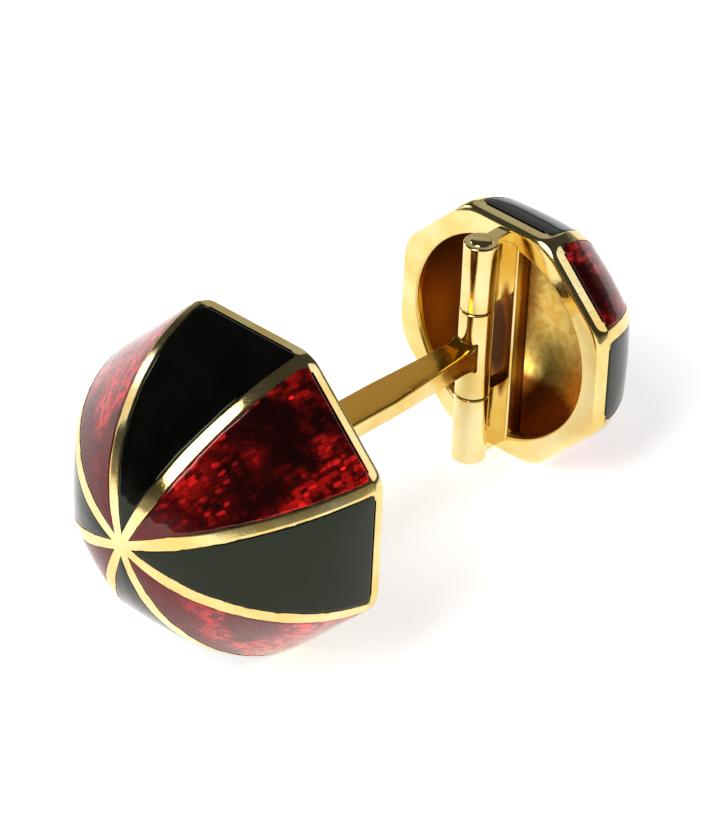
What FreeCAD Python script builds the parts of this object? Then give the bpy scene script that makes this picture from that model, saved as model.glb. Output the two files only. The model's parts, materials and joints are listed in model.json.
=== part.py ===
import FreeCAD
import Part

import math
import os

import Sketcher

# A double-faced cufflink: a deep octagonal dome in front, a smaller hinged dome behind and a
# flat post between them. Both domes are gold shells with eight enamelled cells.
# Everything is drawn along the post: X runs to the front dome's star, Z is the hinge axis.
# The rest placement then lays the cufflink on a table, on one flat of each dome.

# Driving dimensions, in millimetres
SIZES = {
    "front_flats": 13.0,
    "front_height": 7.0,
    "front_band": 0.5,
    "front_crown": 5.6,
    "front_cap": 3.4,
    "front_opening": 10.8,
    "front_bridge_width": 2.3,
    "toggle_flats": 10.1,
    "toggle_height": 4.5,
    "toggle_band": 0.62,
    "toggle_crown": 6.2,
    "toggle_cap": 3.0,
    "toggle_opening": 8.4,
    "toggle_bridge_width": 1.5,
    "apex_trim": 0.02,
    "rib_width": 0.52,
    "enamel_depth": 0.3,
    "cell_wall": 0.35,
    "rim_wall": 0.4,
    "ring_thickness": 0.3,
    "bridge_depth": 0.85,
    "hinge_reach": 12.3,
    "hinge_standoff": 1.33,
    "post_width": 1.64,
    "post_thickness": 0.7,
    "post_straight": 7.0,
    "neck_width": 0.96,
    "neck_thickness": 1.0,
    "barrel_diameter": 1.36,
    "barrel_inset": 0.2,
    "centre_knuckle_length": 3.8,
    "knuckle_gap": 0.05,
    "web_width": 0.6,
    "pin_diameter": 0.7,
    "pin_clearance": 0.03,
    "pin_crown": 0.1,
    "overcut": 1.0,
}
GORES = 8
GORE_ANGLE = 360 / GORES
FULL_TURN = 360

document = FreeCAD.newDocument("Cufflink")
sheet = document.addObject("Spreadsheet::Sheet", "Sizes")


class Size:
    """A length together with the sheet expression that drives it."""

    def __init__(self, value, text):
        self.value = value
        self.text = text

    def joined(self, sign, other, value):
        if not isinstance(other, Size):
            other = Size(other, repr(other))
        return Size(value(self.value, other.value), f"({self.text} {sign} {other.text})")

    def __add__(self, other):
        return self.joined("+", other, lambda a, b: a + b)

    def __sub__(self, other):
        return self.joined("-", other, lambda a, b: a - b)

    def __mul__(self, other):
        return self.joined("*", other, lambda a, b: a * b)

    def __truediv__(self, other):
        return self.joined("/", other, lambda a, b: a / b)

    def __neg__(self):
        return self * -1


def fill_sheet():
    """One row per driving dimension: its name, its number and its alias."""
    sizes = {}
    for row, (name, number) in enumerate(SIZES.items(), start=1):
        sheet.set(f"A{row}", name)
        sheet.set(f"B{row}", str(number))
        sheet.setAlias(f"B{row}", name)
        sizes[name] = Size(number, f"{sheet.Name}.{name}")
    document.recompute()
    return sizes


size = fill_sheet()
ZERO = Size(0, "0")
HALF_GORE_TAN = Size(math.tan(math.radians(GORE_ANGLE / 2)), f"tan({GORE_ANGLE / 2} deg)")
HALF_GORE_SIN = Size(math.sin(math.radians(GORE_ANGLE / 2)), f"sin({GORE_ANGLE / 2} deg)")


class Dome:
    """The sizes of one octagonal dome, read by everything that fits it."""

    def __init__(self, name):
        self.name = name
        self.rim = size[f"{name}_flats"] / 2
        self.band = size[f"{name}_band"]
        self.height = size[f"{name}_height"]
        self.crest = self.height + size["apex_trim"]
        self.crown = size[f"{name}_crown"]
        self.cap = size[f"{name}_cap"]
        self.opening = size[f"{name}_opening"] / 2
        self.bridge = size[f"{name}_bridge_width"] / 2
        self.seat = self.rim - size["rim_wall"]

    def centres(self):
        """Crown centre, shoulder centre, shoulder radius and the point where the arcs meet."""
        crown_centre = FreeCAD.Vector(self.crest.value - self.crown.value, 0, 0)
        reach = math.sqrt(self.crown.value ** 2 - self.cap.value ** 2)
        meeting = crown_centre + FreeCAD.Vector(reach, self.cap.value, 0)
        outward = (meeting - crown_centre).normalize()
        chord = meeting - FreeCAD.Vector(self.band.value, self.rim.value, 0)
        radius = chord.dot(chord) / (2 * chord.dot(outward))
        return crown_centre, meeting - outward * radius, radius, meeting


def new_body(label):
    body = document.addObject("PartDesign::Body", label)
    body.Label = label
    return body


def origin_feature(body, role):
    return next(item for item in body.Origin.OriginFeatures if item.Role == role)


def new_sketch(body, plane, name, lift=None):
    """A sketch on one of the body's origin planes, lifted along the plane's normal."""
    sketch = body.newObject("Sketcher::SketchObject", f"{body.Name}_{name}")
    sketch.AttachmentSupport = [(origin_feature(body, plane), "")]
    sketch.MapMode = "FlatFace"
    if lift is not None:
        sketch.setExpression("AttachmentOffset.Base.z", lift.text)
    return sketch


def bind(sketch, kind, *target, to):
    """A dimension of the sketch, driven by the sheet."""
    index = sketch.addConstraint(Sketcher.Constraint(kind, *target, to.value))
    sketch.setExpression(f"Constraints[{index}]", to.text)


def tie(sketch, kind, *target):
    sketch.addConstraint(Sketcher.Constraint(kind, *target))


# The sketcher's own numbers: its origin, its two axes, and a side's start, end and centre.
ORIGIN = (-1, 1)
ACROSS_AXIS, UPRIGHT_AXIS = range(-1, -3, -1)
START, END, CENTRE = range(1, 4)


def place_point(sketch, line, end, across, up):
    """Holds a point at its distances from the sketch's origin."""
    for axis, kind, distance in ((UPRIGHT_AXIS, "DistanceX", across), (ACROSS_AXIS, "DistanceY", up)):
        if distance is ZERO:
            tie(sketch, "PointOnObject", line, end, axis)
        else:
            bind(sketch, kind, *ORIGIN, line, end, to=distance)


def add_polygon(sketch, corners):
    """A closed outline with straight sides."""
    points = [FreeCAD.Vector(across.value, up.value, 0) for across, up in corners]
    first = sketch.GeometryCount
    count = len(points)
    for i in range(count):
        sketch.addGeometry(Part.LineSegment(points[i], points[(i + 1) % count]))
    for i in range(count):
        tie(sketch, "Coincident", first + i, END, first + (i + 1) % count, START)
        place_point(sketch, first + i, START, *corners[i])


def add_rectangle(sketch, half_width, half_height):
    add_polygon(sketch, [(-half_width, -half_height), (half_width, -half_height),
                         (half_width, half_height), (-half_width, half_height)])


def add_octagon(sketch, apothem):
    """A regular octagon with flats at the top, the bottom and both sides."""
    short = apothem * HALF_GORE_TAN
    add_polygon(sketch, [(short, apothem), (-short, apothem), (-apothem, short), (-apothem, -short),
                         (-short, -apothem), (short, -apothem), (apothem, -short), (apothem, short)])


def add_circle(sketch, radius, across=ZERO):
    centre = FreeCAD.Vector(across.value, 0, 0)
    circle = sketch.addGeometry(Part.Circle(centre, FreeCAD.Vector(0, 0, 1), radius.value))
    place_point(sketch, circle, CENTRE, across, ZERO)
    bind(sketch, "Radius", circle, to=radius)


def add_arc(sketch, centre, start, end, construction=False):
    """An arc run anticlockwise from start to end."""
    radius = (start - centre).Length
    from_angle = math.atan2(start.y - centre.y, start.x - centre.x)
    to_angle = math.atan2(end.y - centre.y, end.x - centre.x)
    circle = Part.Circle(centre, FreeCAD.Vector(0, 0, 1), radius)
    return sketch.addGeometry(Part.ArcOfCircle(circle, from_angle, to_angle), construction)


def add_line(sketch, start, end):
    """A straight side between two ends of sides already drawn."""
    points = [sketch.getPoint(*end_of_side) for end_of_side in (start, end)]
    line = sketch.addGeometry(Part.LineSegment(*points))
    tie(sketch, "Coincident", line, START, *start)
    tie(sketch, "Coincident", line, END, *end)
    return line


def add_gore(sketch, dome, construction=False):
    """The outside of a gore: a crown arc over the star, tangent to a shoulder arc from the band."""
    crown_centre, shoulder_centre, _, meeting = dome.centres()
    apex = FreeCAD.Vector(dome.crest.value, 0, 0)
    foot = FreeCAD.Vector(dome.band.value, dome.rim.value, 0)
    crown = add_arc(sketch, crown_centre, apex, meeting, construction)
    shoulder = add_arc(sketch, shoulder_centre, meeting, foot, construction)
    tie(sketch, "PointOnObject", crown, CENTRE, ACROSS_AXIS)
    bind(sketch, "Radius", crown, to=dome.crown)
    place_point(sketch, crown, START, dome.crest, ZERO)
    bind(sketch, "DistanceY", *ORIGIN, crown, END, to=dome.cap)
    tie(sketch, "Tangent", crown, END, shoulder, START)
    place_point(sketch, shoulder, END, dome.band, dome.rim)
    return crown, shoulder


def add_inner_gore(sketch, dome, inset, foot_at):
    """The same two arcs brought in by the inset, down to the given distance from the back."""
    crown_centre, shoulder_centre, radius, meeting = dome.centres()
    outward = (meeting - crown_centre).normalize()
    inner_meeting = meeting - outward * inset.value
    apex = FreeCAD.Vector(dome.crest.value - inset.value, 0, 0)
    along = foot_at.value - shoulder_centre.x
    rise = math.sqrt((radius - inset.value) ** 2 - along ** 2)
    foot = FreeCAD.Vector(foot_at.value, shoulder_centre.y + rise, 0)
    outer_crown, outer_shoulder = (0, 1)
    crown = add_arc(sketch, crown_centre, apex, inner_meeting)
    shoulder = add_arc(sketch, shoulder_centre, inner_meeting, foot)
    tie(sketch, "Coincident", crown, CENTRE, outer_crown, CENTRE)
    tie(sketch, "Coincident", shoulder, CENTRE, outer_shoulder, CENTRE)
    bind(sketch, "Radius", crown, to=dome.crown - inset)
    tie(sketch, "PointOnObject", crown, START, ACROSS_AXIS)
    tie(sketch, "Tangent", crown, END, shoulder, START)
    bind(sketch, "DistanceX", *ORIGIN, shoulder, END, to=foot_at)
    return crown, shoulder


def pad(body, sketch, length, both_ways=False):
    feature = body.newObject("PartDesign::Pad", f"{sketch.Name}_pad")
    feature.Profile = sketch
    feature.setExpression("Length", length.text)
    feature.Midplane = both_ways
    sketch.Visibility = False
    return feature


def pocket(body, sketch, length=None):
    """A cut through everything both ways, or to a depth along the sketch's normal."""
    feature = body.newObject("PartDesign::Pocket", f"{sketch.Name}_pocket")
    feature.Profile = sketch
    if length is None:
        feature.Type = "ThroughAll"
        feature.Midplane = True
    else:
        feature.setExpression("Length", length.text)
        feature.Reversed = True
    sketch.Visibility = False
    return feature


def dome_blank(dome):
    """The gold dome before its cells are cut: eight gores on an octagonal rim, hollow behind."""
    body = new_body(f"{dome.name}_blank")
    plan = new_sketch(body, "YZ_Plane", "plan")
    add_octagon(plan, dome.rim)
    pad(body, plan, dome.height)

    outside = new_sketch(body, "XZ_Plane", "outside")
    crown, shoulder = add_gore(outside, dome)
    far = dome.crest + size["overcut"]
    top = dome.rim + size["overcut"]
    rise = outside.addGeometry(Part.LineSegment(FreeCAD.Vector(dome.band.value, dome.rim.value, 0),
                                                FreeCAD.Vector(dome.band.value, top.value, 0)))
    tie(outside, "Coincident", rise, START, shoulder, END)
    place_point(outside, rise, END, dome.band, top)
    fall = outside.addGeometry(Part.LineSegment(FreeCAD.Vector(far.value, top.value, 0),
                                                FreeCAD.Vector(far.value, 0, 0)))
    place_point(outside, fall, START, far, top)
    place_point(outside, fall, END, far, ZERO)
    add_line(outside, (rise, END), (fall, START))
    add_line(outside, (fall, END), (crown, START))
    gore = pocket(body, outside)
    document.recompute()

    gores = body.newObject("PartDesign::PolarPattern", f"{body.Name}_gores")
    gores.Originals = [gore]
    gores.Axis = (origin_feature(body, "X_Axis"), [""])
    gores.Angle = FULL_TURN
    gores.Occurrences = GORES
    body.Tip = gores

    hollow = new_sketch(body, "XZ_Plane", "hollow")
    add_gore(hollow, dome, construction=True)
    inset = size["enamel_depth"] + size["cell_wall"]
    crown, shoulder = add_inner_gore(hollow, dome, inset, size["ring_thickness"])
    foot = hollow.getPoint(shoulder, END)
    fall = hollow.addGeometry(Part.LineSegment(foot, FreeCAD.Vector(foot.x, 0, 0)))
    tie(hollow, "Coincident", fall, START, shoulder, END)
    place_point(hollow, fall, END, size["ring_thickness"], ZERO)
    add_line(hollow, (fall, END), (crown, START))
    groove = body.newObject("PartDesign::Groove", f"{body.Name}_cavity")
    groove.Profile = hollow
    groove.ReferenceAxis = (hollow, ["H_Axis"])
    groove.Angle = FULL_TURN
    hollow.Visibility = False

    seat = new_sketch(body, "YZ_Plane", "seat")
    add_octagon(seat, dome.seat)
    pocket(body, seat, size["ring_thickness"])
    return body


def enamel_panel(dome, label):
    """One enamel panel: a strip of the gore's curve, cut to a wedge between two ribs."""
    body = new_body(label)
    strip = new_sketch(body, "XZ_Plane", "strip")
    outer_crown, outer_shoulder = add_gore(strip, dome)
    crown, shoulder = add_inner_gore(strip, dome, size["enamel_depth"], dome.band)
    add_line(strip, (outer_shoulder, END), (shoulder, END))
    add_line(strip, (crown, START), (outer_crown, START))
    pad(body, strip, dome.rim * 2, both_ways=True)

    ribs = new_sketch(body, "YZ_Plane", "ribs")
    tip = size["rib_width"] / 2 / HALF_GORE_SIN
    top = dome.rim + size["overcut"]
    spread = (top - tip) * HALF_GORE_TAN
    side = dome.rim + size["overcut"]
    below = -size["overcut"]
    add_polygon(ribs, [(ZERO, tip), (spread, top), (side, top), (side, below),
                       (-side, below), (-side, top), (-spread, top)])
    pocket(body, ribs)
    return body


def back_ring(dome):
    """The flat octagonal ring let into the back of a dome."""
    body = new_body(f"{dome.name}_back_ring")
    plan = new_sketch(body, "YZ_Plane", "plan")
    add_octagon(plan, dome.seat)
    add_circle(plan, dome.opening)
    pad(body, plan, size["ring_thickness"])
    return body


def bridge(dome, tenon=None):
    """The strip across a back ring, with rounded ends and a slot for a tenon."""
    body = new_body(f"{dome.name}_bridge")
    plan = new_sketch(body, "YZ_Plane", "plan")
    half_length = math.sqrt(dome.opening.value ** 2 - dome.bridge.value ** 2)
    corner = FreeCAD.Vector(dome.bridge.value, half_length, 0)
    other = FreeCAD.Vector(-dome.bridge.value, half_length, 0)
    middle = FreeCAD.Vector(0, 0, 0)
    ends = [add_arc(plan, middle, corner, other), add_arc(plan, middle, -corner, -other)]
    for end in ends:
        tie(plan, "Coincident", end, CENTRE, *ORIGIN)
        bind(plan, "Radius", end, to=dome.opening)
    for start, finish, half_width in ((ends[0], ends[1], -dome.bridge), (ends[1], ends[0], dome.bridge)):
        side = add_line(plan, (start, END), (finish, START))
        tie(plan, "Vertical", side)
        bind(plan, "DistanceX", *ORIGIN, side, START, to=half_width)
    if tenon is not None:
        add_rectangle(plan, *tenon)
    pad(body, plan, size["bridge_depth"])
    return body


def post(reach, tenon):
    """The flat bar: a tenon and a straight run, then a taper to a squarer neck at the hinge."""
    body = new_body("post")
    neck = (size["neck_width"] / 2, size["neck_thickness"] / 2)
    stations = ((size["bridge_depth"], tenon), (-size["post_straight"], tenon), (-reach, neck))
    sections = []
    for number, (station, section) in enumerate(stations, start=1):
        outline = new_sketch(body, "YZ_Plane", f"section_{number}", lift=station)
        add_rectangle(outline, *section)
        outline.Visibility = False
        sections.append(outline)
    loft = body.newObject("PartDesign::AdditiveLoft", "post_loft")
    loft.Profile = sections[0]
    loft.Sections = sections[1:]
    loft.Ruled = True

    saddle = new_sketch(body, "XY_Plane", "saddle")
    add_circle(saddle, size["barrel_diameter"] / 2, across=-reach)
    pocket(body, saddle)
    return body


def knuckle(label, length, bore, standoff=None):
    """A length of hinge tube, on a web that stands it off the bridge."""
    body = new_body(label)
    ring = new_sketch(body, "XY_Plane", "ring")
    barrel = size["barrel_diameter"] / 2
    add_circle(ring, barrel)
    add_circle(ring, bore)
    pad(body, ring, length)
    if standoff is not None:
        web = new_sketch(body, "XY_Plane", "web")
        half_web = size["web_width"] / 2
        root = -(barrel + bore) / 2
        add_polygon(web, [(-standoff, -half_web), (root, -half_web), (root, half_web), (-standoff, half_web)])
        pad(body, web, length)
    return body


def hinge_pin():
    """The pin, with both ends peened to a low crown."""
    body = new_body("hinge_pin")
    half = new_sketch(body, "XZ_Plane", "half")
    radius = size["pin_diameter"] / 2
    shoulder = barrel_length / 2
    crown = size["pin_crown"]
    crown_radius = (radius.value ** 2 + crown.value ** 2) / (2 * crown.value)
    tip = FreeCAD.Vector(0, shoulder.value + crown.value, 0)
    edge = FreeCAD.Vector(radius.value, shoulder.value, 0)
    centre = FreeCAD.Vector(0, tip.y - crown_radius, 0)
    upper = add_arc(half, centre, edge, tip)
    lower = add_arc(half, -centre, -tip, FreeCAD.Vector(edge.x, -edge.y, 0))
    for arc, rim_end, tip_end, side in ((upper, START, END, 1), (lower, END, START, -1)):
        tie(half, "PointOnObject", arc, CENTRE, UPRIGHT_AXIS)
        place_point(half, arc, rim_end, radius, shoulder * side)
        place_point(half, arc, tip_end, ZERO, (shoulder + crown) * side)
    add_line(half, (lower, END), (upper, START))
    add_line(half, (upper, END), (lower, START))
    turn = body.newObject("PartDesign::Revolution", "hinge_pin_turn")
    turn.Profile = half
    turn.ReferenceAxis = (half, ["V_Axis"])
    turn.Angle = FULL_TURN
    half.Visibility = False
    return body


X_AXIS = FreeCAD.Vector(1, 0, 0)
Y_AXIS = FreeCAD.Vector(0, 1, 0)
Z_AXIS = FreeCAD.Vector(0, 0, 1)
NO_SHIFT = FreeCAD.Vector(0, 0, 0)

front = Dome("front")
toggle = Dome("toggle")
reach = size["hinge_reach"]
toggle_back = reach + size["hinge_standoff"]
barrel_length = (toggle.rim - size["barrel_inset"]) * 2


def rest_placement():
    """Lays the cufflink on one flat of each dome, with the origin under the middle of its length."""
    drop = front.rim.value - toggle.rim.value
    tilt = math.atan2(drop, toggle_back.value + toggle.band.value)
    middle = (front.height.value - toggle_back.value - toggle.height.value) / 2
    lean = FreeCAD.Rotation(Y_AXIS, -math.degrees(tilt))
    lift = front.rim.value * math.cos(tilt)
    return FreeCAD.Placement(FreeCAD.Vector(-middle * math.cos(tilt), 0, lift), lean)


def spin(angle):
    return FreeCAD.Placement(NO_SHIFT, FreeCAD.Rotation(X_AXIS, angle))


def along_hinge(height):
    return FreeCAD.Placement(FreeCAD.Vector(-reach.value, 0, height), FreeCAD.Rotation())


def build_head(dome, place, tenon=None):
    """A whole dome: its shell, its enamel panels in turn black and red, its ring and its bridge."""
    blank = dome_blank(dome)
    blank.Placement = place
    panels = []
    for i in range(GORES):
        colour = ("black", "red")[i % 2]
        panel = enamel_panel(dome, f"{dome.name}_enamel_{colour}_{i // 2 + 1}")
        panel.Placement = place * spin(-GORE_ANGLE * i)
        panels.append(panel)
    cells = document.addObject("Part::Compound", f"{dome.name}_cells")
    cells.Links = panels
    shell = document.addObject("Part::Cut", f"{dome.name}_shell")
    shell.Label = f"{dome.name}_shell"
    shell.Base = blank
    shell.Tool = cells
    ring = back_ring(dome)
    ring.Placement = place
    strip = bridge(dome, tenon)
    strip.Placement = place
    return [shell, *panels, ring, strip]


def build_hinge(rest):
    """The three knuckles on their pin: the middle one belongs to the post, the others to the toggle."""
    pin_radius = size["pin_diameter"] / 2
    centre_length = size["centre_knuckle_length"]
    outer_length = (barrel_length - centre_length) / 2 - size["knuckle_gap"]
    centre = knuckle("post_knuckle", centre_length, pin_radius + size["pin_clearance"])
    centre.Placement = rest * along_hinge(-centre_length.value / 2)
    upper = knuckle("upper_knuckle", outer_length, pin_radius, size["hinge_standoff"])
    upper.Placement = rest * along_hinge(barrel_length.value / 2 - outer_length.value)
    lower = knuckle("lower_knuckle", outer_length, pin_radius, size["hinge_standoff"])
    lower.Placement = rest * along_hinge(-barrel_length.value / 2)
    pin = hinge_pin()
    pin.Placement = rest * along_hinge(0)
    return [centre, upper, lower, pin]


def build():
    rest = rest_placement()
    tenon = (size["post_width"] / 2, size["post_thickness"] / 2)
    half_turn = FreeCAD.Rotation(Z_AXIS, FULL_TURN / 2)
    behind = FreeCAD.Placement(FreeCAD.Vector(-toggle_back.value, 0, 0), half_turn)
    pieces = build_head(front, rest, tenon)
    bar = post(reach, tenon)
    bar.Placement = rest
    pieces += [bar]
    pieces += build_head(toggle, rest * behind)
    pieces += build_hinge(rest)
    document.recompute()
    return pieces


def check(pieces):
    for item in document.Objects:
        if "Invalid" in item.State or "Error" in item.State:
            raise RuntimeError(f"{item.Label} failed: {item.State}")
    for piece in pieces:
        if piece.Shape.isNull() or not piece.Shape.isValid() or len(piece.Shape.Solids) != 1:
            raise RuntimeError(f"{piece.Label} is not one valid solid")


def export(pieces):
    os.makedirs("parts", exist_ok=True)
    for piece in pieces:
        piece.Shape.exportStep(os.path.join("parts", f"{piece.Label}.step"))
        print(f"{piece.Label}: {piece.Shape.Volume:.3f} cubic mm")


nodes = build()
check(nodes)
export(nodes)
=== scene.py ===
# %% [markdown]
# A double-faced cufflink: a deep octagonal dome in front, a smaller hinged dome behind and a flat
# post between them. Both domes are gold, with black and red enamel in eight cells.
# The solid model comes first. It fixes where every piece is, so each piece here is drawn in the
# same place, and only its surface gets finer.

# %% Load the solid model
import json
import math

import bmesh
import bpy
from mathutils import Matrix, Quaternion, Vector


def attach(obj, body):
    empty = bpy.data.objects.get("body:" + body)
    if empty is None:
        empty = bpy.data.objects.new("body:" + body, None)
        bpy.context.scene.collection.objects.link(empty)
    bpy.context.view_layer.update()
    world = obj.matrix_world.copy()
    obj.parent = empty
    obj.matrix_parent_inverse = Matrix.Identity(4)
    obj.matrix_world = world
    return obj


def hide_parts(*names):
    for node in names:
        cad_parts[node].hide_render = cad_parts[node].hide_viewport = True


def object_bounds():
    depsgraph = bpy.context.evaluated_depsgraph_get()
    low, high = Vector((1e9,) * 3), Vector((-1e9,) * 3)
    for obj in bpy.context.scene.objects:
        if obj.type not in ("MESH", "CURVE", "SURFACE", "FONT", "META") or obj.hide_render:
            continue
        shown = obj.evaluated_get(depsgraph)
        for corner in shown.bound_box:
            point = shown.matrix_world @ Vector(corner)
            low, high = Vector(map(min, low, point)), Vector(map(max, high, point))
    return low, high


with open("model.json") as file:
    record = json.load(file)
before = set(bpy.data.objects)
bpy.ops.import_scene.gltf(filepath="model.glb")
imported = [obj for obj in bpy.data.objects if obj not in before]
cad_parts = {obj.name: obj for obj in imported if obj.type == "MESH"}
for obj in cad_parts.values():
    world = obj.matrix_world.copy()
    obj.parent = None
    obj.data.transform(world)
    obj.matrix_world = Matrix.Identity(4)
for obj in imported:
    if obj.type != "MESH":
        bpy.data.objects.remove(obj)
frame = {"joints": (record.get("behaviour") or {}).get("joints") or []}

cad_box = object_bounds()

# %% [markdown]
# The maker thinks along the post: X runs to the star of the front dome, Z is the hinge pin. The
# finished cufflink lies on a table, so that drawing is tilted. The hinge of the solid model gives
# the tilt, and three matrices carry millimetres of the drawing to metres on the table.

# %% The drawing's axes
MM = 0.001
HINGE_REACH = 12.3
HINGE_STANDOFF = 1.33

hinge = frame["joints"][0]
across = Vector((0, 1, 0))
up = Vector(hinge["axis"]).normalized()
along = across.cross(up)
drawing = Matrix((along, across, up)).transposed().to_4x4()
drawing.translation = Vector(hinge["pos_m"]) / MM + along * HINGE_REACH
half_turn = Matrix.Rotation(math.pi, 4, "Z")

FRONT = Matrix.Scale(MM, 4) @ drawing
HINGE = FRONT @ Matrix.Translation((-HINGE_REACH, 0, 0))
TOGGLE = HINGE @ Matrix.Translation((-HINGE_STANDOFF, 0, 0)) @ half_turn
print("the post rises by", round(math.degrees(math.asin(along.z)), 2), "degrees")

# %% [markdown]
# Every finish below is a small sum: a noise times a number, one minus a mask. Writing sums as
# node after node hides them, so a wire stands for a socket and understands plus, minus, times and
# divide. Its one other method adds any node at all.

# %% A wire for shader sums
class Wire:
    """An output socket that can be used in sums."""

    def __init__(self, socket):
        self.socket = socket

    def node(self, kind, settings=None, sockets=None, output=0):
        """Adds a node: its settings first, then a number or a wire for each socket."""
        tree = self.socket.id_data
        made = tree.nodes.new(kind)
        for name, value in (settings or {}).items():
            setattr(made, name, value)
        for name, value in (sockets or {}).items():
            if isinstance(value, Wire):
                tree.links.new(value.socket, made.inputs[name])
            else:
                made.inputs[name].default_value = value
        return Wire(made.outputs[output])

    def maths(self, operation, first, second):
        return self.node("ShaderNodeMath", {"operation": operation}, {0: first, 1: second})

    def __add__(self, other):
        return self.maths("ADD", self, other)

    def __sub__(self, other):
        return self.maths("SUBTRACT", self, other)

    def __rsub__(self, other):
        return self.maths("SUBTRACT", other, self)

    def __mul__(self, other):
        return self.maths("MULTIPLY", self, other)

    def __truediv__(self, other):
        return self.maths("DIVIDE", self, other)

    def __rtruediv__(self, other):
        return self.maths("DIVIDE", other, self)

    __radd__ = __add__
    __rmul__ = __mul__


reflected_forms = [word for word in vars(Wire) if word.startswith("__r")]
print("a wire understands", len(reflected_forms), "operators, on either side")

# %% [markdown]
# The finishes share a few patterns: a soft step, noise, a mix of two colours, relief. Each could
# be set up afresh in every material, but a function with the usual settings keeps a finish short
# enough to read. A mesh can also carry numbers on its points, and they come in as wires too.

# %% Small patterns made of wires
# The Mix node keeps its sockets for colours behind those for numbers and vectors
MIX_FACTOR, MIX_FIRST, MIX_SECOND, MIX_RESULT = 0, 6, 7, 2


def step(value, low, high):
    """Rises smoothly from 0 at low to 1 at high."""
    sockets = {"Value": value, "From Min": low, "From Max": high}
    return value.node("ShaderNodeMapRange", {"interpolation_type": "SMOOTHSTEP"}, sockets)


def noise(place, grain, detail=2.0):
    """Soft chance values, with about so many swells to a millimetre."""
    return place.node("ShaderNodeTexNoise", None, {"Vector": place, "Scale": grain, "Detail": detail})


def blend(factor, first, second):
    """Mixes two colours."""
    sockets = {MIX_FACTOR: factor, MIX_FIRST: first, MIX_SECOND: second}
    return factor.node("ShaderNodeMix", {"data_type": "RGBA"}, sockets, output=MIX_RESULT)


def stretched(place, turn, scale):
    """The place, turned and scaled, for a pattern that runs one way."""
    return place.node("ShaderNodeMapping", None, {"Vector": place, "Rotation": turn, "Scale": scale})


def attribute(wire, name):
    """A number stored on the mesh itself, and 0 where the mesh has none."""
    return wire.node("ShaderNodeAttribute", {"attribute_name": name}, output="Fac")


def bump(height, depth, normal=None):
    """Turns a height of 0 to 1 into surface relief, depth millimetres deep."""
    sockets = {"Height": height, "Distance": depth * MM}
    if normal:
        sockets["Normal"] = normal
    return height.node("ShaderNodeBump", None, sockets)


patterns = (step, noise, blend, stretched, attribute, bump)
print("patterns:", *[pattern.__name__ for pattern in patterns])

# %% [markdown]
# Every finish starts alike: a principled shader, and the place of a point on the object. Blender
# gives places in metres. The marks on a cufflink are far smaller, so places are turned into
# millimetres first. Colours are written as a picture shows them, and turned into light here.

# %% A new finish
PICTURE_WHITE = 255
SRGB_FOOT = 0.055
SRGB_POWER = 2.4


def new_finish(name):
    """A material with one principled shader, and its place in millimetres."""
    material = bpy.data.materials.new(name)
    material.use_nodes = True
    tree = material.node_tree
    metres = Wire(tree.nodes.new("ShaderNodeTexCoord").outputs["Object"])
    sockets = {"Vector": metres, "Scale": 1 / MM}
    place = metres.node("ShaderNodeVectorMath", {"operation": "SCALE"}, sockets)
    return material, tree.nodes["Principled BSDF"], place


def feed(shader, socket, wire):
    """Leads a wire to one of the shader's sockets."""
    shader.id_data.links.new(wire.socket, shader.inputs[socket])


def srgb(red, green, blue):
    """A colour as a picture shows it, turned into the light that a shader works with."""
    parts = [(part / PICTURE_WHITE + SRGB_FOOT) / (1 + SRGB_FOOT) for part in (red, green, blue)]
    return (*[part ** SRGB_POWER for part in parts], 1.0)


print("a middle grey of 128 is", round(srgb(128, 128, 128)[0], 3), "of white light")

# %% [markdown]
# Polished yellow gold is a mirror with a colour. What makes it gold and not brass paint is what
# hand work leaves: a slight waviness from the file, hair lines from the polishing mop and a touch
# of tone. Noise at several grains gives each of these, without a picture to wrap round the piece.

# %% Marks on the gold
TONE_GRAIN, TONE_STEP = 0.45, (0.3, 0.7)
HAIR_STEP = (0.5, 0.75)
MOP_TURN = (0.0, 0.1, 0.2)
HAIR_STRETCH = (0.5, 14.0, 14.0)
BLOTCH_GRAIN = 1.6
SKIN_GRAIN = 3.2
WAVE_GRAIN = 0.9
DENT_GRAIN = 2.6

gold, shader, place = new_finish("polished_gold")
tone = step(noise(place, TONE_GRAIN, detail=3.0), *TONE_STEP)
hair = step(noise(stretched(place, MOP_TURN, HAIR_STRETCH), 1.0, detail=3.0), *HAIR_STEP)
blotches = noise(place, BLOTCH_GRAIN, detail=4.0)
skin = noise(place, SKIN_GRAIN)
file_waves = noise(place, WAVE_GRAIN, detail=1.0)
dents = noise(place, DENT_GRAIN)
print("the marks on the gold take", len(gold.node_tree.nodes), "nodes")

# %% [markdown]
# Nobody polishes inside the domes. There the gold is mottled and keeps its skin, and soot from
# soldering stays in the seams. Brown and dark brown shade is painted into the hollows, onto the
# strip's sides and behind the hinge, and a deeper gold is painted as shade onto the post's flats.
# Noise can't tell where that is, so the gold meshes will carry numbers for it: inside and seam, and the
# painted shade.

# %% Colour and shine of the gold
GOLD_DEEP = srgb(230, 199, 116)
GOLD_LIGHT = srgb(247, 229, 170)
GOLD_INSIDE = srgb(253, 220, 120)
MOTTLE_AND_SHADE_GOLD = srgb(228, 170, 62)
# painted shade colours: brown, and a dark brown that the seams' soot shares
SHADE_BROWN = srgb(146, 86, 28)
SOOT_AND_DEEP_SHADE = srgb(72, 40, 16)
MOTTLE_STEP, MOTTLE_SHARE = (0.42, 0.62), 0.55
BLOTCH_SHARE = 0.4
SHADE_BROWN_STEP, DEEP_SHADE_STEP = (0.4, 1.0), (1.4, 2.0)
SEAM_STEP, SEAM_SOOT = (0.5, 0.6), 0.8
MIRROR = 0.1
HAIR_DULL, TONE_DULL, INSIDE_DULL, SHADE_BROWN_DULL = 0.07, 0.03, 0.21, 0.1
WAVE_HEIGHT, DENT_HEIGHT, HAIR_HEIGHT, SKIN_HEIGHT = 0.36, 0.18, 0.015, 0.4
GOLD_RELIEF = 0.02

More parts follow.
